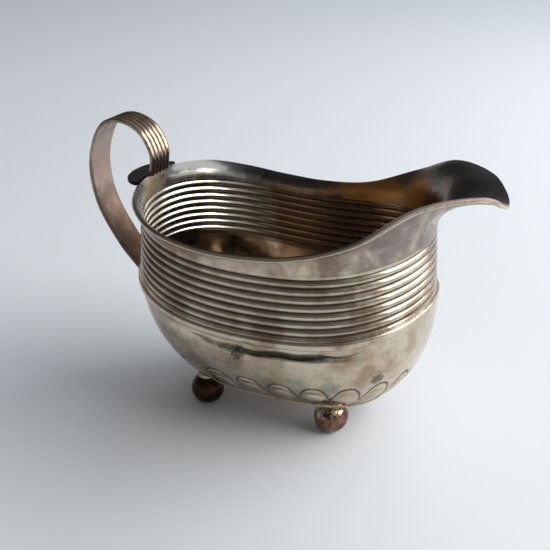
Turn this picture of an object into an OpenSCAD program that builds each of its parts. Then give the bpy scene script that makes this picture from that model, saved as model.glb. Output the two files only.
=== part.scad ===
// Silver cream jug of about 1810, in millimetres: a rounded-oblong body on four ball feet, with a
// reeded wall, a pouring lip and a reeded strap handle. X runs from the handle to the spout, Z is
// up, the feet stand on Z = 0, X = 0 is the middle of the whole length, from strap to lip, and the
// jug is symmetric about Y = 0.

/* [Wall] */
// Length of the body at half the wall's height
wall_len = 94.4; // [84:0.2:104]
// Width of the body at half the wall's height
wall_w = 70.8; // [60:0.2:76]
// Height of the joint between bowl and wall, above the feet
joint_z = 37.8; // [34:0.2:40]
// Height of the wall strip
wall_h = 21.4; // [19:0.2:24]
// Number of reeds on the wall
reed_count = 7; // [5:1:8]
// Depth of the grooves between reeds
reed_depth = 0.6; // [0.3:0.05:0.9]
// Thickness of the silver sheet
sheet_t = 0.7; // [0.6:0.05:0.9]
// How far the body narrows at each end, per millimetre of height
lean_len = 0.07; // [0:0.01:0.1]
// How far the body narrows at each side, per millimetre of height
lean_w = 0.04; // [0:0.01:0.1]
// How far the reeds rise toward the spout
lift_front = 5; // [0:0.5:7]
// How far the reeds rise toward the handle
lift_back = 7.5; // [0:0.5:9]

/* [Bowl and base] */
// Height of the bowl's lower edge above the feet
bowl_z = 11.9; // [11.5:0.1:13]
// How far the lower edge lies inside the joint, at the ends
bowl_inset_len = 14.6; // [12:0.2:18]
// How far the lower edge lies inside the joint, at the sides
bowl_inset_w = 12.5; // [10:0.5:15]
// How far the lower edge is set forward
bowl_shift = 3.6; // [0:0.2:5]
// Where on its arc the belly starts: 0 is level with the table, 90 is upright
bowl_start = 40; // [20:5:50]
// Number of chased lobes round the lower edge
lobe_count = 24; // [18:6:24]
// Height of the lobes above the belly
lobe_relief = 0.5; // [0.2:0.1:0.8]
// How far round from the spout the first lobe begins, in degrees
lobe_start = 3; // [0:0.5:15]
// Thickness of the base plate
plate_t = 0.8; // [0.6:0.1:1.2]

/* [Mouldings] */
// Height of the moulding that covers the joint
moulding_h = 2.6; // [2:0.2:3.2]
// How far that moulding stands out
moulding_r = 0.7; // [0.4:0.1:1]
// Height of the wire along the rim
wire_h = 1.3; // [1:0.1:1.8]
// How far the wire stands out
wire_r = 0.8; // [0.5:0.1:1.1]

/* [Feet] */
// Diameter of a ball foot
ball_d = 11; // [10:0.2:12]
// Sheet thickness of a ball foot
ball_t = 0.7; // [0.5:0.1:1]
// Diameter of the worn flat under a ball
ball_flat_d = 2.4; // [1.6:0.2:3]
// Distance between the feet along the body
foot_span_x = 43.6; // [40:0.2:46]
// Distance between the feet across the body
foot_span_y = 33; // [30:0.2:34]
// Diameter of the solder seat on top of a ball
seat_d = 6.4; // [5:0.2:7]

/* [Handle] */
// Width of the handle strap
strap_w = 11.4; // [9:0.2:13]
// Thickness of the handle strap at its reeds
strap_t = 1.4; // [1.2:0.1:2]
// Depth of the grooves between the strap's reeds
strap_groove = 0.45; // [0.2:0.05:0.6]
// Number of reeds on the strap
strap_reeds = 5; // [3:2:7]
// Angle of the rim that the wing plate holds on each side of the strap
wing_turn = 18; // [15:3:27]
// Depth of the wing plate, from its tips to its outer edge
wing_reach = 8; // [6:0.2:12]
// Thickness of the wing plate
wing_t = 1.2; // [1:0.1:1.6]

/* [Hidden] */
$fn = 48;

around = 72;                                  // stations round the body
steps = [for (i = [0:around - 1]) 360 * i / around];
lobe_steps = [for (i = [0:2 * around - 1]) 180 * i / around];
wall_mid = joint_z + wall_h / 2;
wall_top = joint_z + wall_h;
top_groove = wall_top - 1.2;
low_groove = joint_z + 2.7;
reed_pitch = (top_groove - low_groove) / reed_count;
moulding_low = joint_z - moulding_h / 2;
moulding_high = joint_z + moulding_h / 2;
ball_z = sqrt(pow(ball_d / 2, 2) - pow(ball_flat_d / 2, 2));
plate_z = bowl_z - plate_t;
middle_x = 1.23;                              // the body's middle, ahead of the whole jug's middle
lobe_top = 0.46;                              // where on the belly the lobes end

// The rim, from the spout's tip round to the handle: a station every 18 degrees of the body.
rim_stations = [[66.9, 0, 76.2], [61, 10.8, 80.6], [47.5, 23.5, 80.2], [33, 34.9, 72.2],
                [16, 35.8, 65.9], [0, 36.6, 64], [-15.5, 36.8, 64.5], [-29.5, 34, 66.8],
                [-40, 25.7, 69.8], [-46.3, 12.5, 71.6], [-46.8, 0, 72.6]];
// The strap's outer face in the XZ plane, from the rim over the top and down to the belly.
strap_route = [[-44.9, 72.6], [-44.3, 80], [-48.9, 87.7], [-57.3, 90.6], [-64.9, 86.8],
               [-69.3, 74.5], [-67.6, 60.5], [-60.6, 47.6], [-53, 38.6], [-47.4, 32],
               [-44.9, 27]];

// ---- curves and skins ----

// Point u (0 to 1) of the smooth curve from b to c, which also heeds the neighbours a and d.
function ease(a, b, c, d, u) =
    b + u * ((c - a) / 2 + u * ((2 * a - 5 * b + 4 * c - d) / 2 + u * (3 * b - 3 * c + d - a) / 2));

// Point of a smooth curve through a list, at a position counted in list entries.
function along(list, pos) =
    let (last = len(list) - 1, i = min(floor(pos), last - 1))
    ease(i > 0 ? list[i - 1] : 2 * list[0] - list[1], list[i], list[i + 1],
         i + 2 <= last ? list[i + 2] : 2 * list[last] - list[last - 1], pos - i);

// Rings of equal length become one closed skin. A skin that is a tube joins its last ring to its
// first. Any other skin has flat caps: there, point i of a ring lies across from point n - 1 - i.
module skin(rings, tube = true) {
    n = len(rings[0]);
    m = len(rings);
    spans = tube ? m : m - 1;
    sides = [for (j = [0:spans - 1], i = [0:n - 1])
        let (a = j * n, b = ((j + 1) % m) * n, k = (i + 1) % n)
        each [[a + i, b + i, b + k], [a + i, b + k, a + k]]];
    top = (m - 1) * n;
    caps = tube ? [] : [for (i = [0:n / 2 - 2]) let (k = n - 1 - i)
        each [[i, i + 1, k], [i + 1, k - 1, k],
              [top + i, top + k, top + i + 1], [top + i + 1, top + k, top + k - 1]]];
    polyhedron(points = [for (r = rings) each r], faces = concat(sides, caps), convexity = 10);
}

// ---- the body's surfaces ----

// Rounded oblong with half axes a and b, fuller than an ellipse along its sides.
function oblong(a, b, t) = [a * (cos(t) - 0.01 * cos(5 * t)) / 0.99,
                            b * (sin(t) + 0.05 * sin(3 * t) - 0.017 * sin(5 * t)) / 0.933];

function lift(x) = (x > 0 ? lift_front : lift_back) * pow(2 * x / wall_len, 2);

function wall_point(t, z, inset) =
    let (p = oblong(wall_len / 2 + lean_len * (wall_mid - z) - inset,
                    wall_w / 2 + lean_w * (wall_mid - z) - inset, t))
    [p.x, p.y, z + lift(p.x)];

// Depth below the reeds' crests at height z.
function reed_inset(z) = z < low_groove || z > top_groove ? 0
    : reed_depth * (1 - abs(sin(180 * (z - low_groove) / reed_pitch)));

// Belly at angle t: f runs from 0 at the lower edge to 1 at the joint, inset lies inside it.
function bowl_point(t, f, inset) =
    let (a = bowl_start + (90 - bowl_start) * f, s = (1 - sin(a)) / (1 - sin(bowl_start)),
         v = 1 - cos(a) / cos(bowl_start),
         p = oblong(wall_len / 2 + lean_len * wall_h / 2 - bowl_inset_len * s - inset,
                    wall_w / 2 + lean_w * wall_h / 2 - bowl_inset_w * s - inset, t))
    [p.x + bowl_shift * (1 - v), p.y, bowl_z + (joint_z - bowl_z) * v + lift(p.x) * v];

// Where on the belly a height lies.
function bowl_f(z) =
    (acos(cos(bowl_start) * (joint_z - z) / (joint_z - bowl_z)) - bowl_start) / (90 - bowl_start);

// Height of the chased lobes: a raised oval in each bay, open at the lower edge.
function lobe(t, f) =
    let (bay = ((t - lobe_start + 360) * lobe_count / 360) % 1 - 0.5,
         q = 1 - pow(bay / 0.42, 2) - pow(f / lobe_top, 2))
    q > 0 ? lobe_relief * sqrt(q) : 0;

function rim_point(t) =
    let (w = t < 0 ? -t : t > 180 ? 360 - t : t, i = min(floor(w / 18), 9), s = rim_stations,
         a = i > 0 ? s[i - 1] : [s[1].x, -s[1].y, s[1].z],
         d = i < 9 ? s[i + 2] : [s[9].x, -s[9].y, s[9].z],
         p = ease(a, s[i], s[i + 1], d, w / 18 - i))
    t < 0 || t > 180 ? [p.x, -p.y, p.z] : p;

// Neck at angle t: u runs from 0 at the wall to 1 at the rim.
function neck_bend(t) =
    let (b = wall_point(t, wall_top, 0), r = rim_point(t), k = 0.6 + 0.45 * pow(max(0, cos(t)), 4))
    [b.x, b.y, b.z + k * (r.z - b.z)];
function neck_point(t, u) =
    pow(1 - u, 2) * wall_point(t, wall_top, 0) + 2 * u * (1 - u) * neck_bend(t)
    + u * u * rim_point(t);
function neck_normal(t, u) =
    let (n = cross(neck_point(t + 1, u) - neck_point(t - 1, u),
                   neck_point(t, min(u + 0.02, 1)) - neck_point(t, u - 0.02)))
    n / norm(n);
// Where the wire's lower edge lies on the neck.
function wire_u(t) = 1 - wire_h / (2 * norm(rim_point(t) - neck_bend(t)));

// ---- body pieces ----

module lower_bowl() {
    outer_f = [for (f = [0:0.08:0.8]) f, bowl_f(moulding_low), 1];
    inner_f = [1, 0.8, 0.6, 0.4, 0.2, 0];
    color("#b3aa9c") skin(concat(
        [for (f = outer_f) [for (t = lobe_steps) bowl_point(t, f, 0)
            + lobe(t, f) * [cos(t), sin(t), 0]]],
        [for (f = inner_f) [for (t = lobe_steps) bowl_point(t, f, sheet_t)]]));
}

module reeded_wall() {
    reed_z = [for (i = [0:4 * reed_count]) low_groove + i * reed_pitch / 4];
    inner_z = [for (i = [2 * reed_count:-1:0]) low_groove + i * reed_pitch / 2];
    color("#a39a8c") skin(concat(
        [for (z = concat([joint_z, moulding_high, low_groove - 0.5], reed_z, [wall_top]))
            [for (t = steps) wall_point(t, z, reed_inset(z))]],
        [for (z = concat([wall_top], inner_z, [joint_z]))
            [for (t = steps) wall_point(t, z, reed_inset(z) + sheet_t)]]));
}

module neck_and_lip() {
    rows = [0, 0.2, 0.4, 0.6, 0.8, 1];
    color("#9a9198") skin(concat(
        [for (r = rows) [for (t = steps) neck_point(t, r * wire_u(t))]],
        [[for (t = steps) neck_point(t, 1)]],
        [for (u = [1, 0.85, 0.7, 0.5, 0.3, 0.15])
            [for (t = steps) neck_point(t, u) - sheet_t * neck_normal(t, u)]],
        [[for (t = steps) wall_point(t, wall_top, sheet_t)]]));
}

module rim_wire() {
    color("#8d8a88") skin([for (q = [[1, 0], [1, 0.75], [0.5, 1], [0, 0.7], [0, 0]])
        [for (t = steps) let (u = wire_u(t) + q[0] * (1 - wire_u(t)))
            neck_point(t, u) + q[1] * wire_r * neck_normal(t, u)]]);
}

module joint_moulding() {
    color("#b8b0a2") skin([
        [for (t = steps) bowl_point(t, bowl_f(moulding_low), 0)],
        [for (t = steps) bowl_point(t, 1, 0)],
        [for (t = steps) wall_point(t, moulding_high, 0)],
        [for (t = steps) wall_point(t, moulding_high - 0.35, -moulding_r * 0.7)],
        [for (t = steps) wall_point(t, joint_z, -moulding_r)],
        [for (t = steps) bowl_point(t, bowl_f(moulding_low + 0.35), -moulding_r * 0.7)]]);
}

module base_plate() {
    outline = [for (t = lobe_steps) let (p = bowl_point(t, 0, 0)) [p.x, p.y]];
    color("#a9895c") translate([0, 0, plate_z]) linear_extrude(plate_t) polygon(outline);
}

// ---- handle ----

strap_steps = 40;
route_end = len(strap_route) - 1;
function strap_at(i) = along(strap_route, i * route_end / strap_steps);
// Outward normal of the strap in the XZ plane.
function strap_normal(i) =
    let (d = strap_at(min(i + 0.5, strap_steps)) - strap_at(max(i - 0.5, 0)))
    [d.y, -d.x] / norm(d);
function strap_ring(i) =
    let (p = strap_at(i), n = strap_normal(i), count = strap_reeds * 3,
         across = [for (k = [0:count]) strap_w * (k / count - 0.5)],
         outer = [for (k = [0:count]) [across[k], -strap_groove * (1 - abs(sin(60 * k)))]],
         inner = [for (k = [count:-1:0]) [across[k], -strap_t]])
    [for (q = concat(outer, inner)) [p.x + n.x * q[1], q[0], p.y + n.y * q[1]]];

module handle_strap() {
    color("#8f8076") skin([for (i = [0:strap_steps]) strap_ring(i)], tube = false);
}

function wing_inner(t) =
    let (u = (1 + wire_u(t)) / 2, p = neck_point(t, u) + wire_r * neck_normal(t, u)) [p.x, p.y];
module handle_wing() {
    inner = [for (t = [180 - wing_turn:3:180 + wing_turn]) wing_inner(t)];
    tip = inner[0];
    outer = [for (a = [-80:10:80]) [tip.x - wing_reach * cos(a), tip.y * sin(a)]];
    color("#3a3734") translate([0, 0, rim_stations[10].z - wing_t - 0.1]) linear_extrude(wing_t)
        polygon(concat(inner, outer));
}

// Pad between the belly and the strap's lower end: belly side first, flat strap side second.
module handle_pad() {
    pad_f = [0.52, 0.57, 0.62];
    pad_t = [for (t = [170:5:190]) t];
    belly = [for (f = pad_f) [for (t = pad_t) bowl_point(t, f, 0)]];
    face = [for (r = belly) let (x = r[2].x - 1.1) [for (p = r) [x, p.y, p.z]]];
    color("#8f8076") skin(
        [for (i = [0:len(pad_t) - 1]) concat([for (r = belly) r[i]],
            [for (j = [len(pad_f) - 1:-1:0]) face[j][i]])], tube = false);
}

// ---- feet ----

module at_foot(sx, sy) {
    translate([sx * foot_span_x / 2, sy * foot_span_y / 2, 0]) children();
}

// Half of a hollow ball: the upper or the lower half of a turned shell with a worn flat.
module ball_half(top) {
    color("#7d5a4a") intersection() {
        difference() {
            translate([0, 0, ball_z]) sphere(d = ball_d);
            translate([0, 0, ball_z]) sphere(d = ball_d - 2 * ball_t);
            translate([0, 0, -2]) cylinder(d = ball_d, h = 2);
        }
        translate([0, 0, top ? ball_z : -1]) cylinder(d = ball_d + 2, h = top ? ball_d : ball_z + 1);
    }
}

module seat() {
    color("#b5b0a8") difference() {
        translate([0, 0, plate_z - 2]) cylinder(d = seat_d, h = 2);
        translate([0, 0, ball_z]) sphere(d = ball_d);
    }
}

module placed() {
    translate([middle_x, 0, 0]) children();
}

placed() lower_bowl();
placed() reeded_wall();
placed() neck_and_lip();
placed() rim_wire();
placed() joint_moulding();
placed() base_plate();
placed() handle_strap();
placed() handle_wing();
placed() handle_pad();
placed() at_foot(1, 1) seat();  // seat_front_left
placed() at_foot(1, -1) seat();  // seat_front_right
placed() at_foot(-1, 1) seat();  // seat_back_left
placed() at_foot(-1, -1) seat();  // seat_back_right
placed() at_foot(1, 1) ball_half(true);  // ball_top_front_left
placed() at_foot(1, -1) ball_half(true);  // ball_top_front_right
placed() at_foot(-1, 1) ball_half(true);  // ball_top_back_left
placed() at_foot(-1, -1) ball_half(true);  // ball_top_back_right
placed() at_foot(1, 1) ball_half(false);  // ball_bottom_front_left
placed() at_foot(1, -1) ball_half(false);  // ball_bottom_front_right
placed() at_foot(-1, 1) ball_half(false);  // ball_bottom_back_left
placed() at_foot(-1, -1) ball_half(false);  // ball_bottom_back_right
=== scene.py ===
import math

import bpy
import numpy as np
from bpy.props import FloatProperty, FloatVectorProperty, IntProperty, PointerProperty
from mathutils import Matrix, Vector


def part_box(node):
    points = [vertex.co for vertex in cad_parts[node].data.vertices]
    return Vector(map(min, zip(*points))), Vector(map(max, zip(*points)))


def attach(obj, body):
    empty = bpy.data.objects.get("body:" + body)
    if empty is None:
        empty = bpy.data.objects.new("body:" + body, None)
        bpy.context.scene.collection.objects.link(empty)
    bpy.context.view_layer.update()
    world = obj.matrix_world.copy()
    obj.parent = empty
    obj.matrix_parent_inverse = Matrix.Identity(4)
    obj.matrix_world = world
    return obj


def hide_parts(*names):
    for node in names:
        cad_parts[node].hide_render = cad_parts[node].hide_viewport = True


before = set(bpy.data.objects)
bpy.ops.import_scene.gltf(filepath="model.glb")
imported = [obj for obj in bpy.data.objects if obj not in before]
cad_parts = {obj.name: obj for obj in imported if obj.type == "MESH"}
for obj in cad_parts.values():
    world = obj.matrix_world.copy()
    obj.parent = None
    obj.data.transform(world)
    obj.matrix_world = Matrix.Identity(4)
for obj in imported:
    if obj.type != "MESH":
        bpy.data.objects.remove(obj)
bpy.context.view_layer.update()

bl_info = {
    "name": "Silver cream jug",
    "version": (1, 0, 0),
    "blender": (4, 5, 0),
    "location": "3D View > Sidebar > Jug",
    "description": "A tarnished silver cream jug with a reeded body, a pouring lip and ball feet",
    "category": "Add Mesh",
}

MM = 0.001
# The body's middle lies this far ahead of the frame's origin, in millimetres.
BODY_X = sum(corner.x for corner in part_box("reeded_wall")) / 2 / MM

# ---- the jug's own measures, in millimetres, as the CAD source gives them ----

WALL_LEN, WALL_W, WALL_H = 94.4, 70.8, 21.4
JOINT_Z = 37.8
WALL_MID = JOINT_Z + WALL_H / 2
WALL_TOP = JOINT_Z + WALL_H
TOP_GROOVE = WALL_TOP - 1.2
LOW_GROOVE = JOINT_Z + 2.7
LEAN_LEN, LEAN_W = 0.07, 0.04
LIFT_FRONT, LIFT_BACK = 5.0, 7.5
SHEET_T = 0.7
BOWL_Z = 11.9
BOWL_INSET_LEN, BOWL_INSET_W, BOWL_SHIFT = 14.6, 12.5, 3.6
BOWL_START = math.radians(40)
LOBE_TOP = 0.46
LOBE_START = 3.0
MOULDING_H, MOULDING_R = 2.6, 0.7
WIRE_H, WIRE_R = 1.3, 0.8
BALL_T = 0.7
STRAP_W, STRAP_T = 11.4, 1.4
WING_TURN, WING_REACH = 18.0, 8.0
RIM = [(66.9, 0, 76.2), (61, 10.8, 80.6), (47.5, 23.5, 80.2), (33, 34.9, 72.2),
       (16, 35.8, 65.9), (0, 36.6, 64), (-15.5, 36.8, 64.5), (-29.5, 34, 66.8),
       (-40, 25.7, 69.8), (-46.3, 12.5, 71.6), (-46.8, 0, 72.6)]
STRAP = [(-44.9, 72.6), (-44.3, 80), (-48.9, 87.7), (-57.3, 90.6), (-64.9, 86.8),
         (-69.3, 74.5), (-67.6, 60.5), (-60.6, 47.6), (-53, 38.6), (-47.4, 32), (-44.9, 27)]
FEET = ("front_left", "front_right", "back_left", "back_right")

# ---- what only the visible pieces have, in millimetres, and inside the CAD solids' box ----

SHOULDER = 1.05     # how far the hammered belly stands out below the joint
STRAP_EASE = 0.08   # how far the strap's reeds lie inside the CAD strap
SEAM_IN, SEAM_HALF = 0.06, 0.07     # depth and half the width of the seam round a ball


def linear(hexa):
    """sRGB hex, such as "c8bfae", as linear RGBA."""
    parts = [int(hexa[i:i + 2], 16) / 255 for i in (0, 2, 4)]
    return [c / 12.92 if c <= 0.04045 else ((c + 0.055) / 1.055) ** 2.4 for c in parts] + [1.0]


# ---- sizes and colours that a user would change ----

class JugSizes(bpy.types.PropertyGroup):
    reeds: IntProperty(name="Reeds", description="Reeds round the wall", default=7, min=3, max=9)
    reed_depth: FloatProperty(name="Reed depth", description="Depth of the grooves between reeds",
                              default=0.6 * MM, unit="LENGTH", subtype="DISTANCE")
    strap_reeds: IntProperty(name="Strap reeds", description="Reeds along the handle",
                             default=5, min=3, max=7)
    strap_groove: FloatProperty(name="Strap groove", description="Depth of the handle's grooves",
                                default=0.45 * MM, unit="LENGTH", subtype="DISTANCE")
    lobes: IntProperty(name="Lobes", description="Chased lobes round the belly's lower edge",
                       default=24, min=12, max=36)
    lobe_relief: FloatProperty(name="Lobe relief", description="Height of a lobe's raised oval",
                               default=0.55 * MM, unit="LENGTH", subtype="DISTANCE")
    ball: FloatProperty(name="Ball foot", description="Diameter of a ball foot",
                        default=11 * MM, unit="LENGTH", subtype="DISTANCE")


COLOURS = {
    "silver": ("d2c5b1", "Rubbed silver"),
    "film": ("aa957b", "Thin warm tarnish"),
    "brown": ("644a33", "Thick brown tarnish"),
    "black": ("17110b", "Dirt and sulphide in the grooves"),
    "gold": ("b57a3a", "Straw-gold tarnish"),
    "mauve": ("7c6e70", "Violet tarnish"),
    "verdigris": ("6f8f80", "Green copper salts"),
    "slate": ("565657", "Blue-grey tarnish inside the neck"),
    "rosy": ("a38d82", "Pinkish-brown film behind the handle"),
    "copper": ("8c6a5c", "Copper under worn plate"),
    "clean": ("dedcd3", "Nearly clean silver inside the handle's end"),
    # Painted dark reflection of the room, for the band on the slope below the joint.
    "shadow": ("34352e", "Green-black tarnish below the joint"),
}


class JugColours(bpy.types.PropertyGroup):
    __annotations__ = {
        key: FloatVectorProperty(name=key.capitalize(), description=use, subtype="COLOR", size=4,
                                 default=linear(hexa), min=0, max=1)
        for key, (hexa, use) in COLOURS.items()}


class JugStage(bpy.types.PropertyGroup):
    paper: FloatVectorProperty(name="Paper", description="Colour of the paper sweep",
                               subtype="COLOR", size=4, default=linear("e0e5ec"), min=0, max=1)
    window: FloatProperty(name="Window", description="Power of the window light, in watts",
                          default=14.5, min=0)
    fill: FloatProperty(name="Fill", description="Power of the even fill, in watts",
                        default=25, min=0)
    lens: FloatProperty(name="Lens", description="Focal length on a 36 mm sensor",
                        default=55.68, unit="CAMERA")


# ---- curves and surfaces: angles in degrees, points in millimetres ----

def ease(a, b, c, d, u):
    """Point u of the smooth curve from b to c, which also heeds the neighbours a and d."""
    return b + u * ((c - a) / 2 + u * ((2 * a - 5 * b + 4 * c - d) / 2
                                       + u * (3 * b - 3 * c + d - a) / 2))


def oblong(a, b, t):
    """The body's outline, of half length a and half width b. t is 0 at the spout."""
    w = np.radians(t)
    return (a * (np.cos(w) - 0.01 * np.cos(5 * w)) / 0.99,
            b * (np.sin(w) + 0.05 * np.sin(3 * w) - 0.017 * np.sin(5 * w)) / 0.933)


def lift(x):
    """How far the reeds rise toward the spout and toward the handle."""
    return np.where(x > 0, LIFT_FRONT, LIFT_BACK) * (2 * x / WALL_LEN) ** 2


def wall_point(t, z, inset=0.0):
    x, y = oblong(WALL_LEN / 2 + LEAN_LEN * (WALL_MID - z) - inset,
                  WALL_W / 2 + LEAN_W * (WALL_MID - z) - inset, t)
    return np.stack([x, y, z + lift(x)], -1)


def bowl_point(t, f, inset=0.0):
    """f runs from 0 at the belly's lower edge to 1 at the joint."""
    a = BOWL_START + (math.pi / 2 - BOWL_START) * f
    s = (1 - math.sin(a)) / (1 - math.sin(BOWL_START))
    v = 1 - math.cos(a) / math.cos(BOWL_START)
    x, y = oblong(WALL_LEN / 2 + LEAN_LEN * WALL_H / 2 - BOWL_INSET_LEN * s - inset,
                  WALL_W / 2 + LEAN_W * WALL_H / 2 - BOWL_INSET_W * s - inset, t)
    return np.stack([x + BOWL_SHIFT * (1 - v), y,
                     BOWL_Z + (JOINT_Z - BOWL_Z) * v + lift(x) * v], -1)


def shoulder(t, f):
    """How far the hammered belly stands out below the joint, most of all on its long sides."""
    wave = 0.010 * np.sin(np.radians(9 * t)) + 0.008 * np.sin(np.radians(23 * t + 60))
    out = np.interp(f - wave * (f < 0.95), [0.25, 0.5, 0.7, 0.78, 0.81, 0.85, 0.89, 0.915, 0.94],
                    [0, 0.35, 0.85, 0.99, 1, 0.85, 0.45, 0.12, 0])
    side = np.abs(np.sin(np.radians(t - 4))) ** 4
    return SHOULDER * out * side


def bowl_f(z):
    """The f of bowl_point at a height on the belly's side."""
    a = math.acos(math.cos(BOWL_START) * (JOINT_Z - z) / (JOINT_Z - BOWL_Z))
    return (a - BOWL_START) / (math.pi / 2 - BOWL_START)


def rim_point(t):
    ring = np.array(RIM + [(x, -y, z) for x, y, z in RIM[-2:0:-1]], float)
    place = (np.asarray(t, float) / 18) % len(ring)
    i = np.floor(place).astype(int)
    a, b, c, d = (ring[(i + k) % len(ring)] for k in (-1, 0, 1, 2))
    return ease(a, b, c, d, (place - i)[:, None])


def neck_bend(t):
    """The point that the neck's curve, from wall to rim, leans toward."""
    base, rim = wall_point(t, WALL_TOP), rim_point(t)
    k = 0.6 + 0.45 * np.maximum(0, np.cos(np.radians(t))) ** 4
    return np.stack([base[:, 0], base[:, 1], base[:, 2] + k * (rim[:, 2] - base[:, 2])], -1)


def neck_point(t, u):
    """u runs from 0 at the top of the wall to 1 at the rim."""
    u = np.broadcast_to(np.asarray(u, float), np.shape(t))[:, None]
    return ((1 - u) ** 2 * wall_point(t, WALL_TOP) + 2 * u * (1 - u) * neck_bend(t)
            + u ** 2 * rim_point(t))


def neck_normal(t, u):
    n = np.cross(neck_point(t + 1, u) - neck_point(t - 1, u),
                 neck_point(t, np.minimum(u + 0.02, 1)) - neck_point(t, u - 0.02))
    return n / np.linalg.norm(n, axis=1, keepdims=True)


def wire_u(t):
    """The u of neck_point at the rim wire's lower edge."""
    return 1 - WIRE_H / (2 * np.linalg.norm(rim_point(t) - neck_bend(t), axis=1))


# ---- meshes ----

def run_lengths(points, closed=False):
    """Distance along a line of points, from its first point."""
    line = np.concatenate([points, points[:1]]) if closed else points
    return np.concatenate([[0], np.cumsum(np.linalg.norm(np.diff(line, axis=0), axis=1))])


def skin(name, rings, tube=True, sharp=55, **marks):
    """Rings of equal length, in millimetres, become one closed smooth mesh object in metres.

    A tube joins its last ring to its first; any other skin is capped. Each mark is a point
    attribute: one number or vector for each point of each ring. The UV map "Surface" holds
    millimetres round the ring and along the skin."""
    points = np.asarray(rings, float)
    m, n = points.shape[:2]
    index = np.arange(m * n).reshape(m, n)
    rows = np.arange(m if tube else m - 1)
    low, high = index[rows], index[(rows + 1) % m]
    quads = np.stack([low, np.roll(low, -1, 1), np.roll(high, -1, 1), high], -1).reshape(-1, 4)
    around = run_lengths(points[m // 4], closed=True)
    rise = run_lengths(points[:, n // 4], closed=True)
    u0 = np.broadcast_to(around[:-1], (len(rows), n))
    u1 = np.broadcast_to(around[1:], (len(rows), n))
    v0 = np.broadcast_to(rise[rows][:, None], (len(rows), n))
    v1 = np.broadcast_to(rise[rows + 1][:, None], (len(rows), n))
    flat = np.stack([np.stack([u0, v0], -1), np.stack([u1, v0], -1),
                     np.stack([u1, v1], -1), np.stack([u0, v1], -1)], 2).reshape(-1, 4, 2)
    a, b, c, d = (points.reshape(-1, 3)[quads[:, k]] for k in range(4))
    volume = (a * (np.cross(b, c) + np.cross(c, d))).sum()
    if volume < 0:
        quads, flat = quads[:, ::-1], flat[:, ::-1]
    faces = quads.tolist()
    uvs = flat.reshape(-1, 2)
    if not tube:
        ends = [index[0].tolist(), index[-1].tolist()]
        ends[0 if volume > 0 else 1].reverse()
        faces += ends
        uvs = np.concatenate([uvs, np.zeros((2 * n, 2))])
    mesh = bpy.data.meshes.new(name)
    mesh.from_pydata(((points.reshape(-1, 3) + (BODY_X, 0, 0)) * MM).tolist(), [], faces)
    mesh.uv_layers.new(name="Surface").data.foreach_set("uv", uvs.ravel())
    for mark, values in marks.items():
        values = np.asarray(values, float)
        kind, field = ("FLOAT", "value") if values.ndim == 2 else ("FLOAT_VECTOR", "vector")
        mesh.attributes.new(mark, kind, "POINT").data.foreach_set(field, values.ravel())
    mesh.shade_smooth()
    mesh.set_sharp_from_angle(angle=math.radians(sharp))
    piece = bpy.data.objects.new(name, mesh)
    bpy.context.scene.collection.objects.link(piece)
    return piece


def by_row(values, n):
    """One number for each ring, repeated for each of its n points."""
    return np.repeat(np.asarray(values, float)[:, None], n, axis=1)


def finished(piece, nodes, material=None):
    """Gives the piece its material, puts it under the root body, and hides the CAD nodes that it
    stands for.
    """
    if material:
        piece.data.materials.clear()
        piece.data.materials.append(material)
    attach(piece, "root")
    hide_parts(*nodes)
    return piece


def refinish(node, material):
    """A CAD node keeps its shape, and gets this material."""
    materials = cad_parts[node].data.materials
    materials.clear()
    materials.append(material)


def apply_modifiers(piece):
    """The evaluated shape becomes the piece's plain mesh, and its modifiers go."""
    graph = bpy.context.evaluated_depsgraph_get()
    mesh = bpy.data.meshes.new_from_object(piece.evaluated_get(graph))
    piece.modifiers.clear()
    piece.data = mesh


# ---- node trees ----

MATH, VECTOR, RANGE = "ShaderNodeMath", "ShaderNodeVectorMath", "ShaderNodeMapRange"
MIX, NOISE, BUMP = "ShaderNodeMix", "ShaderNodeTexNoise", "ShaderNodeBump"
ATTRIBUTE = "GeometryNodeInputNamedAttribute"


def add(tree, kind, inputs=None, curve=None, **settings):
    """Adds a node. An input is a value, a socket to link from, or a node, whose first output
    is linked. curve is the points of a curve node."""
    node = tree.nodes.new(kind)
    for key, value in settings.items():
        setattr(node, key, value)
    for key, value in (inputs or {}).items():
        if isinstance(value, bpy.types.Node):
            value = value.outputs[0]
        if isinstance(value, bpy.types.NodeSocket):
            tree.links.new(value, node.inputs[key])
        else:
            node.inputs[key].default_value = value
    if curve:
        points = node.mapping.curves[0].points
        while len(points) < len(curve):
            points.new(0.5, 0.5)
        for point, place in zip(points, curve):
            point.location = place
        node.mapping.update()
    return node


def geometry_tree(name, sizes):
    """A geometry tree with named inputs. Returns the tree, its input node and its sockets."""
    tree = bpy.data.node_groups.new(name, "GeometryNodeTree")
    face = tree.interface
    sockets = {key: face.new_socket(key, in_out="INPUT", socket_type="NodeSocket" + kind)
               for key, kind in ({"Geometry": "Geometry"} | sizes).items()}
    face.new_socket("Geometry", in_out="OUTPUT", socket_type="NodeSocketGeometry")
    return tree, add(tree, "NodeGroupInput"), sockets


def close_tree(tree, entry, groove, outward, height):
    """Stores how deep a point lies in a groove, moves it outward by a height, and ends the tree
    in Realize Instances and Set Material."""
    marked = add(tree, "GeometryNodeStoreNamedAttribute",
                 {"Geometry": entry.outputs["Geometry"], "Name": "groove", "Value": groove},
                 data_type="FLOAT", domain="POINT")
    offset = add(tree, VECTOR, {0: outward, "Scale": height}, operation="SCALE")
    moved = add(tree, "GeometryNodeSetPosition", {"Geometry": marked, "Offset": offset})
    real = add(tree, "GeometryNodeRealizeInstances", {0: moved})
    dressed = add(tree, "GeometryNodeSetMaterial",
                  {"Geometry": real, "Material": entry.outputs["Material"]})
    add(tree, "NodeGroupOutput", {0: dressed})


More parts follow.
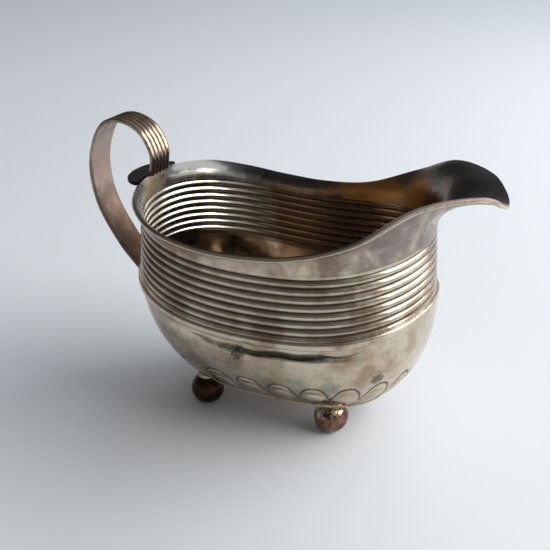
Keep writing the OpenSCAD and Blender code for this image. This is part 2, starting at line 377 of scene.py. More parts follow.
def dress(piece, tree, sockets, **values):
    """Runs a geometry tree on the piece, with its inputs set by identifier."""
    modifier = piece.modifiers.new(tree.name, "NODES")
    modifier.node_group = tree
    for key, value in values.items():
        modifier[sockets[key].identifier] = value
    apply_modifiers(piece)


def reeding_tree():
    """Sinks the grooves between reeds, where the attribute reed_run goes from 0 to 1."""
    tree, entry, sockets = geometry_tree(
        "Reeding", {"Reeds": "Int", "Depth": "Float", "Material": "Material"})
    run = add(tree, ATTRIBUTE, {"Name": "reed_run"}, data_type="FLOAT")
    out = add(tree, ATTRIBUTE, {"Name": "outward"}, data_type="FLOAT_VECTOR")
    wave = add(tree, MATH, {0: run, 1: entry.outputs["Reeds"]}, operation="MULTIPLY")
    wave = add(tree, MATH, {0: wave, 1: math.pi}, operation="MULTIPLY")
    wave = add(tree, MATH, {0: wave}, operation="SINE")
    # A reed is round, and meets the next one in a narrow groove.
    crest = add(tree, MATH, {0: wave, 1: wave, 2: 0.004}, operation="MULTIPLY_ADD")
    crest = add(tree, MATH, {0: crest, 1: 0.43}, operation="POWER")
    sink = add(tree, MATH, {0: 1.0, 1: crest}, operation="SUBTRACT", use_clamp=True)
    above = add(tree, MATH, {0: run, 1: -0.0001}, operation="GREATER_THAN")
    below = add(tree, MATH, {0: run, 1: 1.0001}, operation="LESS_THAN")
    band = add(tree, MATH, {0: above, 1: below}, operation="MULTIPLY")
    groove = add(tree, MATH, {0: sink, 1: band}, operation="MULTIPLY")
    depth = add(tree, MATH, {0: groove, 1: entry.outputs["Depth"]}, operation="MULTIPLY")
    depth = add(tree, MATH, {0: depth, 1: -1.0}, operation="MULTIPLY")
    close_tree(tree, entry, groove, out, depth)
    return tree, sockets


def chasing_tree():
    """Raises the lobes on the belly: an arch cut with a liner, and an oval boss inside it."""
    tree, entry, sockets = geometry_tree(
        "Chasing", {"Lobes": "Int", "Relief": "Float", "Material": "Material"})
    turn = add(tree, ATTRIBUTE, {"Name": "turn"}, data_type="FLOAT")
    rise = add(tree, ATTRIBUTE, {"Name": "rise"}, data_type="FLOAT")
    out = add(tree, ATTRIBUTE, {"Name": "outward"}, data_type="FLOAT_VECTOR")
    bay = add(tree, MATH, {0: turn, 1: entry.outputs["Lobes"]}, operation="MULTIPLY")
    bay = add(tree, MATH, {0: bay}, operation="FRACT")
    across = add(tree, MATH, {0: bay, 1: 0.5}, operation="SUBTRACT")
    # Each figure: half its width in bays, its middle and half its height as a share of the
    # belly's rise, and its profile from the middle (0) to the edge (0.5) and on, 0.5 is level.
    figures = (
        (0.5, 0.0, LOBE_TOP, [(0, .5), (.35, .5), (.41, .6), (.45, .6), (.475, .3), (.492, .16),
                              (.51, .34), (.54, .5), (1, .5)]),
        (0.37, 0.155, 0.2, [(0, 1), (.2, .97), (.34, .86), (.43, .62), (.48, .34), (.53, .3),
                            (.6, .5), (1, .5)]))
    raised = []
    for half, middle, height, profile in figures:
        x = add(tree, MATH, {0: across, 1: half}, operation="DIVIDE")
        y = add(tree, MATH, {0: rise, 1: middle}, operation="SUBTRACT")
        y = add(tree, MATH, {0: y, 1: height}, operation="DIVIDE")
        # The outline is squarer than an ellipse, as the chaser's punches leave it.
        x, y = (add(tree, MATH, {0: side}, operation="ABSOLUTE") for side in (x, y))
        x, y = (add(tree, MATH, {0: side, 1: 2.5}, operation="POWER") for side in (x, y))
        far = add(tree, MATH, {0: x, 1: y}, operation="ADD")
        far = add(tree, MATH, {0: far, 1: 1 / 2.5}, operation="POWER")
        far = add(tree, MATH, {0: far, 1: 0.5}, operation="MULTIPLY", use_clamp=True)
        level = add(tree, "ShaderNodeFloatCurve", {"Value": far}, curve=profile)
        raised.append(add(tree, MATH, {0: level, 1: 0.5}, operation="SUBTRACT"))
    both = add(tree, MATH, {0: raised[0], 1: raised[1]}, operation="ADD")
    height = add(tree, MATH, {0: both, 1: entry.outputs["Relief"]}, operation="MULTIPLY")
    height = add(tree, MATH, {0: height, 1: 1.9}, operation="MULTIPLY")
    cut = add(tree, MATH, {0: both, 1: -3.2}, operation="MULTIPLY", use_clamp=True)
    close_tree(tree, entry, cut, out, height)
    return tree, sockets


# ---- materials ----

def bare_material(name):
    """A new material, its empty node tree and the coordinates of the object."""
    material = bpy.data.materials.new(name)
    material.use_nodes = True
    tree = material.node_tree
    tree.nodes.clear()
    return material, tree, add(tree, "ShaderNodeTexCoord").outputs["Object"]


def silver(name, rough=(0.16, 0.34), film=0.5, dirt=1.0, streaks=0.5, dents=0.06, brown=0.25,
           mauve=0.0, inside=0.0, slate=0.0, shade=0.0, lining=None, stains=(), pits=(),
           base="silver"):
    """Sterling silver, raised and rolled by hand and left to tarnish.

    Metal is the base. Over it lie a warm sulphide film in soft patches, brown tarnish where the
    film is thick, black dirt in the grooves, and the fine marks that years of rubbing leave
    along the body. dents is the height of the hand-worked unevenness in millimetres."""
    colours = bpy.context.scene.jug_colours
    material, tree, place = bare_material(name)
    surface = add(tree, "ShaderNodeUVMap", uv_map="Surface")
    groove, within = (add(tree, "ShaderNodeAttribute", attribute_name=mark).outputs["Fac"]
                      for mark in ("groove", "inside"))

    # Soft patches 22 mm across, blotches of 5 mm, mottling of 1.2 mm and specks of 0.7 mm.
    patch, blotch, mottle, specks = (
        add(tree, NOISE, {"Vector": place, "Scale": 1 / (across * MM), "Detail": detail,
                          "Roughness": grit, "Distortion": bend})
        for across, detail, grit, bend in ((22, 3.0, 0.55, 0.6), (5, 4.0, 0.6, 0.4),
                                           (1.2, 3.0, 0.65, 0.0), (0.7, 2.0, 0.5, 0.0)))
    # Rubbing marks: 20 mm long along the surface and 0.35 mm apart, so that they show.
    drawn = add(tree, "ShaderNodeMapping", {"Vector": surface, "Scale": (0.05, 2.8, 1.0)})
    streak = add(tree, NOISE, {"Vector": drawn, "Scale": 1.0, "Detail": 4.0, "Roughness": 0.7})

    def closeness(spot, reach, full):
        """1 within full millimetres of a spot, falling to 0 at its reach."""
        middle = [(spot[0] + BODY_X) * MM, spot[1] * MM, spot[2] * MM]
        gap = add(tree, VECTOR, {0: place, 1: middle}, operation="DISTANCE").outputs["Value"]
        return add(tree, RANGE, {"Value": gap, "From Min": reach * MM, "From Max": full * MM})

    cover = add(tree, MATH, {0: patch, 1: 0.6}, operation="MULTIPLY")
    cover = add(tree, MATH, {0: blotch, 1: 0.4, 2: cover}, operation="MULTIPLY_ADD")
    cover = add(tree, RANGE, {"Value": cover, "From Min": 0.62 - 0.3 * film,
                              "From Max": 0.86 - 0.42 * film, "To Max": 0.95})
    # The layers, from the metal up: a mask, a tint and how it blends.
    layers = [(cover, colours.film, "MIX")]
    if mauve:
        veil = add(tree, RANGE, {"Value": patch, "From Min": 0.42, "From Max": 0.58,
                                 "To Max": mauve})
        layers.append((veil, colours.mauve, "MIX"))
    thick = add(tree, MATH, {0: blotch, 1: patch}, operation="MULTIPLY")
    thick = add(tree, RANGE, {"Value": thick, "From Min": 0.3, "From Max": 0.42,
                              "To Max": brown})
    # The rubbed metal is a little uneven in tone at the scale of the mottling and the marks.
    tone = add(tree, MATH, {0: mottle, 1: 0.5, 2: 0.75}, operation="MULTIPLY_ADD")
    tone = add(tree, MATH, {0: streak, 1: 0.5 * streaks, 2: tone}, operation="MULTIPLY_ADD")
    tone = add(tree, MATH, {0: tone, 1: 0.25 * streaks}, operation="SUBTRACT")
    layers += [(thick, colours.brown, "MIX"), (1.0, tone, "MULTIPLY")]
    if inside:
        # Inside, the silver is near-white at the handle's end, and brown ahead of it,
        # toward the spout.
        clean = add(tree, MATH, {0: within, 1: 0.75}, operation="MULTIPLY")
        along = add(tree, "ShaderNodeSeparateXYZ", {0: place}).outputs["X"]
        ahead = add(tree, RANGE, {"Value": along, "From Min": -0.034, "From Max": -0.012})
        ahead = add(tree, MATH, {0: blotch, 1: 0.5, 2: ahead}, operation="MULTIPLY_ADD")
        ahead = add(tree, RANGE, {"Value": ahead, "From Min": 0.3, "From Max": 1.1,
                                  "To Max": 0.94 * inside})
        ahead = add(tree, MATH, {0: ahead, 1: within}, operation="MULTIPLY")
        layers += [(clean, colours.clean, "MIX"), (ahead, colours.brown, "MIX")]
    if slate:
        # Under the rim the inside is blue-grey, and beige right at the handle's end.
        reach = add(tree, "ShaderNodeAttribute", attribute_name="reach").outputs["Fac"]
        grey = add(tree, MATH, {0: blotch, 1: 0.3, 2: reach}, operation="MULTIPLY_ADD")
        grey = add(tree, RANGE, {"Value": grey, "From Min": 0.4, "From Max": 0.7,
                                 "To Max": slate})
        grey = add(tree, MATH, {0: grey, 1: within}, operation="MULTIPLY")
        layers.append((grey, colours.slate, "MIX"))
    if shade:
        # Painted dark reflection of the room: a green-black band on the slope below the joint.
        reflection_mask = add(tree, "ShaderNodeAttribute", attribute_name="shaded").outputs["Fac"]
        reflection_mask = add(tree, MATH, {0: blotch, 1: 0.8, 2: reflection_mask}, operation="MULTIPLY_ADD")
        reflection_mask = add(tree, RANGE, {"Value": reflection_mask, "From Min": 0.6, "From Max": 1.25,
                                  "To Max": shade})
        layers.append((reflection_mask, colours.shadow, "MIX"))
    if lining:
        lined = add(tree, MATH, {0: within, 1: 0.9}, operation="MULTIPLY")
        layers.append((lined, getattr(colours, lining), "MIX"))

    sheen = add(tree, MATH, {0: blotch, 1: streak}, operation="MULTIPLY")
    sheen = add(tree, RANGE, {"Value": sheen, "From Min": 0.12, "From Max": 0.4,
                              "To Min": rough[0], "To Max": rough[1]})
    grains = {"soft": (blotch, 0.7, 1.35), "fine": (mottle, 0.8, 1.2),
              "specks": (specks, 0.9, 1.1)}
    for spot, reach, tint, amount, grain in stains:
        # A stain: its middle and reach in millimetres, its colour, amount and grain.
        noise, edge, full = grains[grain]
        stain = add(tree, MATH, {0: noise, 1: closeness(spot, reach, 0)}, operation="ADD")
        stain = add(tree, RANGE, {"Value": stain, "From Min": edge, "From Max": full,
                                  "To Max": amount})
        layers.append((stain, getattr(colours, tint), "MIX"))
        sheen = add(tree, MIX, {0: stain, 2: sheen, 3: 0.45}, data_type="FLOAT")
    # Dirt lies deep in the grooves, and its edge is broken by the mottling. Inside the jug the
    # same lines stand up, and hold less. Along a groove it comes and goes in lanes 60 mm long
    # and 2.5 mm apart.
    lanes = add(tree, "ShaderNodeMapping", {"Vector": surface, "Scale": (1 / 60, 0.4, 1.0)})
    lanes = add(tree, NOISE, {"Vector": lanes, "Scale": 1.0, "Detail": 3.0, "Roughness": 0.6})
    hold = add(tree, MATH, {0: within, 1: -0.3, 2: groove}, operation="MULTIPLY_ADD")
    hold = add(tree, MATH, {0: lanes, 1: 0.9, 2: hold}, operation="MULTIPLY_ADD")
    hold = add(tree, MATH, {0: mottle, 1: 0.3, 2: hold}, operation="MULTIPLY_ADD")
    hold = add(tree, MATH, {0: hold, 1: 0.45}, operation="SUBTRACT")
    hold = add(tree, RANGE, {"Value": hold, "From Min": 0.45, "From Max": 0.95,
                             "To Max": dirt})
    layers.append((hold, colours.black, "MIX"))
    sheen = add(tree, MIX, {0: hold, 2: sheen, 3: 0.55}, data_type="FLOAT")
    metal = add(tree, RANGE, {"Value": hold, "From Min": 0.3, "From Max": 1.0, "To Min": 1.0,
                              "To Max": 0.35})

    colour = getattr(colours, base)
    for mask, tint, blend in layers:
        colour = add(tree, MIX, {0: mask, 6: colour, 7: tint}, data_type="RGBA",
                     blend_type=blend).outputs[2]

    # The relief, from the broadest to the finest: a height and its depth in millimetres.
    uneven = add(tree, NOISE, {"Vector": place, "Scale": 1 / (9 * MM), "Detail": 2.0,
                               "Roughness": 0.4})
    relief = [(uneven, dents)]
    for spot, reach, depth in pits:
        # A knocked or pitted place: its middle, reach and depth in millimetres.
        near = closeness(spot, reach, 0.3 * reach)
        relief.append((add(tree, MATH, {0: mottle, 1: near}, operation="MULTIPLY"), depth))
    relief += [(mottle, 0.006), (streak, 0.012 * streaks)]
    normal = {}
    for height, depth in relief:
        normal["Normal"] = add(tree, BUMP, {"Height": height, "Distance": depth * MM,
                                            "Strength": 1.0} | normal)
    shader = add(tree, "ShaderNodeBsdfPrincipled",
                 {"Base Color": colour, "Metallic": metal, "Roughness": sheen} | normal)
    add(tree, "ShaderNodeOutputMaterial", {"Surface": shader})
    return material


def worn_copper(name, bright):
    """Copper ball feet whose silver plate has worn off: dark glossy brown, with a little pink
    copper where a cloth reaches and rests of plate toward the top. bright is how much."""
    material, tree, place = bare_material(name)
    patch = add(tree, NOISE, {"Vector": place, "Scale": 1 / (4 * MM), "Detail": 5.0,
                              "Roughness": 0.6, "Distortion": 0.5})
    fine = add(tree, NOISE, {"Vector": place, "Scale": 1 / (0.8 * MM), "Detail": 3.0,
                             "Roughness": 0.6})
    rubbed = add(tree, RANGE, {"Value": patch, "From Min": 0.62 - 0.25 * bright,
                               "From Max": 0.8 - 0.2 * bright})
    height = add(tree, "ShaderNodeSeparateXYZ", {0: place}).outputs["Z"]
    plate = add(tree, RANGE, {"Value": height, "From Min": 0.004, "From Max": 0.0105,
                              "To Max": 0.45})
    plate = add(tree, MATH, {0: patch, 1: plate}, operation="ADD")
    plate = add(tree, MATH, {0: fine, 1: 0.3, 2: plate}, operation="MULTIPLY_ADD")
    plate = add(tree, RANGE, {"Value": plate, "From Min": 1.12 - 0.2 * bright,
                              "From Max": 1.2 - 0.2 * bright, "To Max": 0.25 + 0.7 * bright})
    tone = add(tree, MATH, {0: fine, 1: 0.5, 2: 0.75}, operation="MULTIPLY_ADD")
    colour = linear("3a271c")
    for mask, tint, blend in ((rubbed, bpy.context.scene.jug_colours.copper, "MIX"),
                              (plate, linear("c3b8a4"), "MIX"), (1.0, tone, "MULTIPLY")):
        colour = add(tree, MIX, {0: mask, 6: colour, 7: tint}, data_type="RGBA",
                     blend_type=blend).outputs[2]
    rough = add(tree, RANGE, {"Value": fine, "To Min": 0.14, "To Max": 0.42})
    pits = add(tree, BUMP, {"Height": fine, "Distance": 0.03 * MM, "Strength": 1.0})
    dents = add(tree, BUMP, {"Height": patch, "Distance": 0.12 * MM, "Strength": 1.0,
                             "Normal": pits})
    shader = add(tree, "ShaderNodeBsdfPrincipled",
                 {"Base Color": colour, "Metallic": 0.95, "Roughness": rough, "Normal": dents})
    add(tree, "ShaderNodeOutputMaterial", {"Surface": shader})
    return material


def matt_paper(name, colour):
    """Photographer's background paper: matt, with a faint tooth of 0.6 mm."""
    material, tree, place = bare_material(name)
    tooth = add(tree, NOISE, {"Vector": place, "Scale": 1 / (0.6 * MM), "Detail": 2.0})
    bump = add(tree, BUMP, {"Height": tooth, "Distance": 0.02 * MM, "Strength": 0.3})
    shader = add(tree, "ShaderNodeBsdfPrincipled",
                 {"Base Color": colour, "Roughness": 0.75, "Normal": bump})
    add(tree, "ShaderNodeOutputMaterial", {"Surface": shader})
    return material


# ---- pieces ----

AROUND = np.arange(0, 360, 1.5)


def level_outward(t):
    """Unit vectors that point away from the body's middle, level, square to its wall."""
    step = wall_point(t + 0.5, WALL_MID) - wall_point(t - 0.5, WALL_MID)
    n = np.stack([step[:, 1], -step[:, 0], np.zeros(len(t))], -1)
    return n / np.linalg.norm(n, axis=1, keepdims=True)


class JUG_OT_belly(bpy.types.Operator):
    """Raises the belly from sheet, with chased lobes round its lower edge"""
    bl_idname = "jug.belly"
    bl_label = "Belly"

    def execute(self, context):
        sizes = context.scene.jug_sizes
        t = np.arange(0, 360, 0.6)
        outer = np.concatenate([[0, 0.004], np.arange(0.012, 0.62, 0.012),
                                np.linspace(0.63, 0.82, 12), np.linspace(0.83, 0.99, 28), [1]])
        inner = np.concatenate([np.linspace(1, 0.64, 12), np.arange(0.62, 0.02, -0.024), [0]])
        rings = [bowl_point(t, f) + shoulder(t, f)[:, None] * level_outward(t) for f in outer]
        rings += [bowl_point(t, f, SHEET_T) for f in inner]
        rises = np.concatenate([outer, inner])
        side = np.concatenate([np.zeros(len(outer)), np.ones(len(inner))])
        # How much of the shoulder's upward slope a place is on, which takes a painted dark
        # reflection of the room. The painted band is darkest 73 degrees on either side of the
        # spout, and fades over 40.
        darkest, spread = 73, 40
        toward = np.clip(1.15 - np.abs(np.minimum(t, 360 - t) - darkest) / spread, 0, 1)
        reflection_rows = []
        for f in outer:
            share = np.clip(shoulder(t, f) / SHOULDER, 0, 1)
            reflection_rows.append(4 * share * (1 - share) * toward * np.clip((f - 0.82) / 0.03, 0, 1))
        reflection_rows += [np.zeros(len(t)) for f in inner]
        turns = np.repeat(((t - LOBE_START) / 360)[None], len(rings), axis=0)
        piece = skin("Belly", rings, shaded=reflection_rows, turn=turns, rise=by_row(rises, len(t)),
                     inside=by_row(side, len(t)),
                     outward=np.repeat(level_outward(t)[None], len(rings), axis=0))
        tree, sockets = chasing_tree()
        # The belly's silver has a painted dark reflection of the room on the slope below the
        # joint.
        finish = silver("Silver, raised and chased", rough=(0.1, 0.24), film=0.5, dents=0.35,
                        brown=0.1, inside=1.0, shade=0.85, streaks=0.3, dirt=0.85, stains=[
                            ((-1.3, -35.5, 33), 4.5, "black", 0.7, "specks"),
                            ((-3, -34.8, 29.5), 6, "brown", 0.4, "fine"),
                            ((-16, -32, 26), 7, "brown", 0.5, "fine"),
                            ((26, -30, 24.4), 5, "verdigris", 0.5, "fine"),
                            ((17, -32.5, 25), 4.5, "verdigris", 0.35, "fine"),
                            ((4, -33.5, 26.5), 4, "verdigris", 0.3, "specks"),
                            ((-22, -30, 24), 7, "verdigris", 0.25, "fine"),
                            ((38, -23.5, 26.5), 4, "black", 0.7, "specks"),
                            ((36, -27.5, 36), 3, "gold", 0.35, "soft"),
                            ((-12, -31, 20), 10, "black", 0.35, "fine")],
                        pits=[((-1.3, -35.5, 33), 5, 0.25), ((-1.7, -34.9, 30.2), 4.5, 0.2),
                              ((-5.2, -34.2, 28), 3.5, 0.2), ((37.6, -25.6, 30.4), 4.5, 0.15),
                              ((38.9, -25.4, 38.5), 3, 0.2), ((26, -30, 24.4), 5, 0.15)])
        dress(piece, tree, sockets, Lobes=sizes.lobes, Relief=sizes.lobe_relief,
              Material=finish)
        finished(piece, ["lower_bowl"])
        return {"FINISHED"}


class JUG_OT_wall(bpy.types.Operator):
    """Rolls the wall strip and its reeds"""
    bl_idname = "jug.wall"
    bl_label = "Reeded wall"

    def execute(self, context):
        sizes = context.scene.jug_sizes
        band = np.linspace(LOW_GROOVE, TOP_GROOVE, sizes.reeds * 14 + 1)
        heights = np.concatenate([[JOINT_Z, JOINT_Z + 1.3, LOW_GROOVE - 0.5], band,
                                  [TOP_GROOVE + 0.4, WALL_TOP - 0.03, WALL_TOP]])
        back = heights[::-1]
        rings = [wall_point(AROUND, z) for z in heights] + [
            wall_point(AROUND, z, SHEET_T) for z in back]
        both = np.concatenate([heights, back])
        side = by_row(np.repeat([0, 1], len(heights)), len(AROUND))
        run = (both - LOW_GROOVE) / (TOP_GROOVE - LOW_GROOVE)
        piece = skin("Reeded_wall", rings, reed_run=by_row(run, len(AROUND)), inside=side,
                     outward=np.repeat(level_outward(AROUND)[None], len(rings), axis=0))
        tree, sockets = reeding_tree()
        finish = silver("Silver, rolled in reeds", rough=(0.12, 0.26), film=0.7, dents=0.1,
                        brown=0.25, mauve=0.3, inside=1.0, streaks=0.8, dirt=0.95, pits=[
                            ((32.5, -29.7, z), 2.2, 0.15) for z in (42, 45, 48, 51, 54, 57)])
        dress(piece, tree, sockets, Reeds=sizes.reeds, Depth=sizes.reed_depth, Material=finish)
        finished(piece, ["reeded_wall"])
        return {"FINISHED"}


class JUG_OT_neck(bpy.types.Operator):
    """Raises the plain neck and its pouring lip"""
    bl_idname = "jug.neck"
    bl_label = "Neck and lip"

    def execute(self, context):
        wire = wire_u(AROUND)
        up = [0, 0.004] + list(np.linspace(0.03, 1, 30))
        down = list(np.linspace(1, 0.15, 26)[1:])
        rings = [neck_point(AROUND, u * wire) for u in up] + [neck_point(AROUND, 1.0)]
        rings += [neck_point(AROUND, u) - SHEET_T * neck_normal(AROUND, u)
                  for u in [0.998] + down]
        rings.append(wall_point(AROUND, WALL_TOP, SHEET_T))
        side = by_row([0] * (len(up) + 1) + [1] * (len(down) + 2), len(AROUND))
        reach = by_row(up + [1.0, 0.998] + down + [0.0], len(AROUND))
        finish = silver("Silver, planished", rough=(0.16, 0.32), film=0.8, dents=0.16,
                        brown=0.3, mauve=0.75, inside=0.9, slate=1.0, streaks=0.6, stains=[
                            ((42, -24, 70), 26, "mauve", 0.75, "soft"),
                            ((24, -35, 69), 12, "brown", 0.5, "soft"),
                            ((-22, -35, 62), 15, "gold", 0.25, "soft"),
                            ((16, 33, 61), 24, "gold", 0.8, "soft"),
                            ((36, 28, 66), 15, "gold", 0.8, "soft"),
                            ((47, 15, 74), 8, "film", 0.7, "fine"),
                            ((60, -8, 75), 16, "mauve", 0.8, "soft"),
                            ((-24, 33, 67), 17, "black", 0.7, "soft"),
                            ((-46, -4, 66), 15, "film", 1.0, "soft")],
                        pits=[((39.3, -22.7, 63.5), 7, 0.12)])
        piece = skin("Neck_and_lip", rings, inside=side, reach=reach)
        finished(piece, ["neck_and_lip"], finish)
        return {"FINISHED"}


class JUG_OT_mouldings(bpy.types.Operator):
    """Draws the wire on the rim and the bead over the joint"""
    bl_idname = "jug.mouldings"
    bl_label = "Rim wire and joint bead"

    def execute(self, context):
        wire = wire_u(AROUND)
        finish = silver("Silver, drawn wire", rough=(0.14, 0.28), film=0.4, dents=0.04,
                        brown=0.35, streaks=0.5)
        section = [(1, 0), (1, 0.45), (0.9, 0.8), (0.68, 1), (0.42, 1), (0.18, 0.8),
                   (0.03, 0.4), (0, 0)]
        rings = []
        for along, out in section:
            u = wire + along * (1 - wire)
            rings.append(neck_point(AROUND, u) + out * WIRE_R * neck_normal(AROUND, u))
        finished(skin("Rim_wire", rings, sharp=80), ["rim_wire"], finish)

        low, high = JOINT_Z - MOULDING_H / 2, JOINT_Z + MOULDING_H / 2
        rings = [bowl_point(AROUND, bowl_f(low)), bowl_point(AROUND, 1.0),
                 wall_point(AROUND, high)]
        for share, out in [(0.93, 0.5), (0.75, 0.85), (0.45, 1), (0.2, 1)]:
            rings.append(wall_point(AROUND, JOINT_Z + share * (high - JOINT_Z),
                                    -out * MOULDING_R))
        for share, out in [(0.1, 1), (0.45, 0.95), (0.75, 0.75), (0.93, 0.4)]:
            rings.append(bowl_point(AROUND, bowl_f(JOINT_Z - share * (JOINT_Z - low)),
                                    -out * MOULDING_R))
        finished(skin("Joint_bead", rings, sharp=80), ["joint_moulding"], finish)
        return {"FINISHED"}


class JUG_OT_handle(bpy.types.Operator):
    """Bends the reeded strap, and fits its wing plate and its pad"""
    bl_idname = "jug.handle"
    bl_label = "Handle"

    def execute(self, context):
        sizes = context.scene.jug_sizes
        count, reeds = 240, sizes.strap_reeds
        line = [np.array(p, float) for p in STRAP]
        line = [2 * line[0] - line[1]] + line + [2 * line[-1] - line[-2]]
        spans = len(STRAP) - 1

        def at(share):
            place = min(max(share, 0), 1) * spans
            i = min(int(place), spans - 1)
            return ease(*line[i:i + 4], place - i)

        # The strap's section: across as a share of its width, outward as a share of its
        # thickness, and how far along the run of reeds a point is, or -1 off it.
        across = np.linspace(-0.5, 0.5, reeds * 12 + 1)
        flat = np.linspace(0.5, -0.5, 17)
        profile = [(a, 0.0, a + 0.5) for a in across] + [(0.5, -0.35, -1), (0.5, -0.75, -1)]
        profile += [(0.49, -0.95, -1)] + [(a, -1.0, -1) for a in flat[1:-1]]
        profile += [(-0.49, -0.95, -1), (-0.5, -0.75, -1), (-0.5, -0.35, -1)]
        rings, normals = [], []
        for i in range(count + 1):
            share = i / count
            d = at(share + 0.012) - at(share - 0.012)
            n = np.array([d[1], -d[0]]) / np.linalg.norm(d)
            p = at(share)
            rings.append([(p[0] + n[0] * (o * STRAP_T - STRAP_EASE), a * STRAP_W,
                           p[1] + n[1] * (o * STRAP_T - STRAP_EASE)) for a, o, _ in profile])
            normals.append([(n[0], 0, n[1])] * len(profile))
        run = np.repeat(np.array([[r for _, _, r in profile]]), count + 1, axis=0)
        back = np.repeat(np.array([[float(o < -0.9) for _, o, _ in profile]]), count + 1, axis=0)
        piece = skin("Handle_strap", rings, tube=False, reed_run=run, outward=normals,
                     inside=back)
        tree, sockets = reeding_tree()
        finish = silver("Silver, drawn strap", rough=(0.16, 0.3), film=0.9, dents=0.05,
                        brown=0.6, mauve=0.5, streaks=0.6, dirt=1.0, lining="rosy", stains=[
                            # Brown over the lower part of the strap and over its top.
                            ((-60, 0, 44), 30, "brown", 0.8, "soft"),
                            ((-60, 0, 91), 14, "brown", 0.8, "soft")])
        dress(piece, tree, sockets, Reeds=reeds, Depth=sizes.strap_groove, Material=finish)
        finished(piece, ["handle_strap"])

        t = np.arange(180 - WING_TURN, 180 + WING_TURN + 1, 3)
        u = (1 + wire_u(t)) / 2
        inner = (neck_point(t, u) + WIRE_R * neck_normal(t, u))[:, :2]
        tip = inner[0]
        a = np.radians(np.arange(-80, 81, 5))
        outer = np.stack([tip[0] - WING_REACH * np.cos(a), tip[1] * np.sin(a)], -1)
        outline = np.concatenate([inner, outer])
        low, high = (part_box("handle_wing")[k].z / MM for k in (0, 1))
        rings = [[(x, y, z) for x, y in outline] for z in (low, high)]
        wing = skin("Handle_wing", rings, tube=False, sharp=30)
        bevel = wing.modifiers.new("Rounded edge", "BEVEL")
        bevel.width = 0.3 * MM
        bevel.segments = 3
        apply_modifiers(wing)
        # The wing plate's silver is black all over, with a little brown.
        black = silver("Silver, black plate", rough=(0.3, 0.5), film=0.0, brown=0.5, dents=0.08,
                       base="black", streaks=0.3)
        finished(wing, ["handle_wing"], black)
        refinish("handle_pad", finish)
        return {"FINISHED"}


class JUG_OT_feet(bpy.types.Operator):
    """Solders on the base plate and the four ball feet"""
    bl_idname = "jug.feet"
    bl_label = "Base and feet"

    def execute(self, context):
        sizes = context.scene.jug_sizes
        radius = sizes.ball / MM / 2
        colours = {"front_right": 1.3, "front_left": 0.6, "back_left": 0.4, "back_right": 0.05}
        solder = silver("Silver solder", rough=(0.35, 0.55), film=0.5, dents=0.3, brown=0.5,
                        streaks=0.0)
        turns = np.radians(np.arange(0, 360, 5))
        for k, foot in enumerate(FEET):
            low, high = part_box("ball_top_" + foot)
            x, y = (low.x + high.x) / 2 / MM - BODY_X, (low.y + high.y) / 2 / MM
            equator = low.z / MM
            finish = worn_copper("Copper, worn plate, " + foot.replace("_", " "), colours[foot])
            for half, name in ((1, "top"), (-1, "bottom")):
                # The lower half stops at the flat that it stands on, the upper at its pole.
                end = math.acos(min(1, equator / radius)) if half < 0 else 0.02
                bend = np.linspace(math.pi / 2, end, 26)
                shell = [(radius * math.sin(b), half * radius * math.cos(b)) for b in bend]
                shell[0] = (radius - SEAM_IN, 0.0)
                shell.insert(1, (radius, half * SEAM_HALF))
                thin = radius - BALL_T
                shell += [(thin * math.sin(b), half * thin * math.cos(b)) for b in bend[::-3]]
                shell.append((thin, 0.0))
                rings = []
                for r, z in shell:
                    wobble = 1 - 0.004 * (1 + np.sin(3 * turns + k * 1.7 + z * 0.6))
                    rings.append(np.stack([x + r * wobble * np.cos(turns),
                                           y + r * wobble * np.sin(turns),
                                           np.full(len(turns), equator + z)], -1))
                piece = skin(f"Ball_{name}_{foot}", rings)
                finished(piece, [f"ball_{name}_{foot}"], finish)
            low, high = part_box("seat_" + foot)
            seat = (high.x - low.x) / 2 / MM
            rough = np.random.default_rng(11 + k).uniform(-1, 1, (6, len(turns)))
            rough = sum(np.roll(rough, s, 1) for s in range(-2, 3)) / 5
            rings = []
            # The solder's section: a share of the seat's radius, and the height.
            for j, (share, z) in enumerate([(0.25, 11.1), (0.96, 11.1), (1.0, 10.7), (0.97, 10.1),
                                            (0.9, 9.75), (0.25, 10.8)]):
                r = seat * (share * (1 + 0.07 * rough[j]) if share > 0.5 else share)
                r = np.minimum(r, seat)
                ring_z = np.full(len(turns), z) + (0.18 * rough[j] if 1 < j < 5 else 0)
                rings.append(np.stack([x + r * np.cos(turns), y + r * np.sin(turns), ring_z], -1))
            finished(skin("Collar_" + foot, rings), ["seat_" + foot], solder)
        gilt = silver("Silver, brown with age", rough=(0.25, 0.45), film=1.0, brown=0.8,
                      dents=0.1, base="gold")
        refinish("base_plate", gilt)
        return {"FINISHED"}


def lay_flat(name, corners, z, material):
    """A flat sheet for the stage, at height z in metres."""
    mesh = bpy.data.meshes.new(name)
    mesh.from_pydata([(x, y, z) for x, y in corners], [], [list(range(len(corners)))])
    mesh.materials.append(material)
    sheet = bpy.data.objects.new(name, mesh)
    bpy.context.scene.collection.objects.link(sheet)
    return sheet


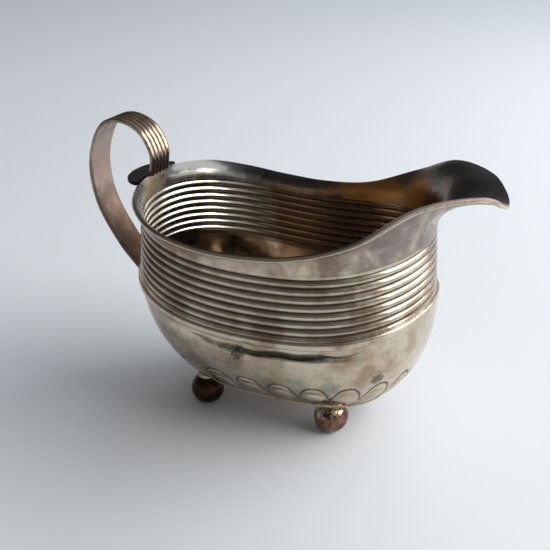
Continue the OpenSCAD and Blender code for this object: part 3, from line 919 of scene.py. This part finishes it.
class JUG_OT_stage(bpy.types.Operator):
    """Lays the paper, hangs the lights and places the camera"""
    bl_idname = "jug.stage"
    bl_label = "Stage"

    def execute(self, context):
        scene = context.scene
        stage = scene.jug_stage
        scene.view_settings.view_transform = "Standard"
        # The paper is a disc 6 m across, 0.05 mm below the feet.
        turns = np.radians(np.arange(0, 360, 5))
        paper = lay_flat("Paper", [(3 * math.cos(a), 3 * math.sin(a)) for a in turns], -0.05 * MM,
                         matt_paper("Matt background paper", stage.paper))

        aim = np.array([-3.76 + BODY_X, -1.45, 43.18]) * MM
        turn, rise, far = math.radians(22.71), math.radians(24.39), 275.83 * MM
        back = np.array([math.sin(turn) * math.cos(rise), -math.cos(turn) * math.cos(rise),
                         math.sin(rise)])
        lens = bpy.data.cameras.new("Camera")
        lens.lens = stage.lens
        lens.sensor_width = 36
        lens.clip_start = 0.01
        camera = bpy.data.objects.new("Camera", lens)
        scene.collection.objects.link(camera)
        camera.location = aim + back * far
        camera.rotation_euler = (math.pi / 2 - rise, 0, turn)
        scene.camera = camera

        # A black card lies in front, out of the picture, and only the silver sees it.
        ahead = np.array([math.sin(turn), -math.cos(turn)])
        across = np.array([math.cos(turn), math.sin(turn)])
        corners = [aim[:2] + ahead * d + across * w
                   for d, w in ((0.19, -1.2), (1.6, -1.2), (1.6, 1.2), (0.19, 1.2))]
        flag = lay_flat("Black card", corners, 1 * MM, matt_paper("Black card", linear("2a2826")))
        for ray in ("camera", "diffuse", "transmission", "shadow"):
            setattr(flag, "visible_" + ray, False)

        # The window is close on the right, so the paper dims toward the left. The fill is
        # broad and even, and isn't seen in the silver.
        for name, power, spot, size, tint in (
                ("Window", stage.window, (0.82, 0.3, 0.54), (1.2, 0.85), "fffdf8"),
                ("Fill", stage.fill, (0.5, 2.3, 1.3), (2.2, 2.2), "eef3fa")):
            lamp = bpy.data.lights.new(name, "AREA")
            lamp.shape = "RECTANGLE"
            lamp.size, lamp.size_y = size
            lamp.energy = power
            lamp.color = linear(tint)[:3]
            light = bpy.data.objects.new(name, lamp)
            scene.collection.objects.link(light)
            light.location = spot
            light.rotation_euler = light.location.to_track_quat("Z", "Y").to_euler()
            light.visible_glossy = name != "Fill"

        # The room: a pale band at the height of the horizon, a bright side toward the window,
        # and a dim ceiling and dim walls on the other sides.
        world = bpy.data.worlds.new("Room")
        scene.world = world
        world.use_nodes = True
        tree = world.node_tree
        tree.nodes.clear()
        sky = add(tree, "ShaderNodeTexCoord").outputs["Generated"]
        toward = add(tree, VECTOR, {0: sky, 1: (0.86, 0.42, 0.3)},
                     operation="DOT_PRODUCT").outputs["Value"]
        bright = add(tree, RANGE, {"Value": toward, "From Min": -0.1, "From Max": 0.85})
        high = add(tree, "ShaderNodeSeparateXYZ", {0: sky}).outputs["Z"]
        haze = add(tree, RANGE, {"Value": high, "From Min": 0.2, "From Max": 0.06})
        walls = add(tree, MIX, {0: haze, 6: linear("696662"), 7: linear("b0b4b8")},
                    data_type="RGBA").outputs[2]
        room = add(tree, MIX, {0: bright, 6: walls, 7: linear("d5d8dc")},
                   data_type="RGBA").outputs[2]
        glow = add(tree, "ShaderNodeBackground", {"Color": room, "Strength": 0.9})
        add(tree, "ShaderNodeOutputWorld", {"Surface": glow})
        return {"FINISHED"}


STEPS = (JUG_OT_stage, JUG_OT_belly, JUG_OT_wall, JUG_OT_neck, JUG_OT_mouldings, JUG_OT_handle,
         JUG_OT_feet)
GROUPS = {"jug_sizes": JugSizes, "jug_colours": JugColours, "jug_stage": JugStage}


class JUG_PT_panel(bpy.types.Panel):
    bl_idname = "JUG_PT_panel"
    bl_label = "Cream jug"
    bl_space_type = "VIEW_3D"
    bl_region_type = "UI"
    bl_category = "Jug"

    def draw(self, context):
        for name, group in GROUPS.items():
            box = self.layout.box()
            for key in group.__annotations__:
                box.prop(getattr(context.scene, name), key)
        for step in STEPS:
            self.layout.operator(step.bl_idname)


def register():
    for kind in (*GROUPS.values(), *STEPS, JUG_PT_panel):
        bpy.utils.register_class(kind)
    for name, group in GROUPS.items():
        setattr(bpy.types.Scene, name, PointerProperty(type=group))


def unregister():
    for name in GROUPS:
        delattr(bpy.types.Scene, name)
    for kind in reversed((*GROUPS.values(), *STEPS, JUG_PT_panel)):
        bpy.utils.unregister_class(kind)


def main():
    register()
    bpy.ops.jug.stage()
    bpy.ops.jug.belly()
    bpy.ops.jug.wall()
    bpy.ops.jug.neck()
    bpy.ops.jug.mouldings()
    bpy.ops.jug.handle()
    bpy.ops.jug.feet()


if __name__ == "__main__":
    main()
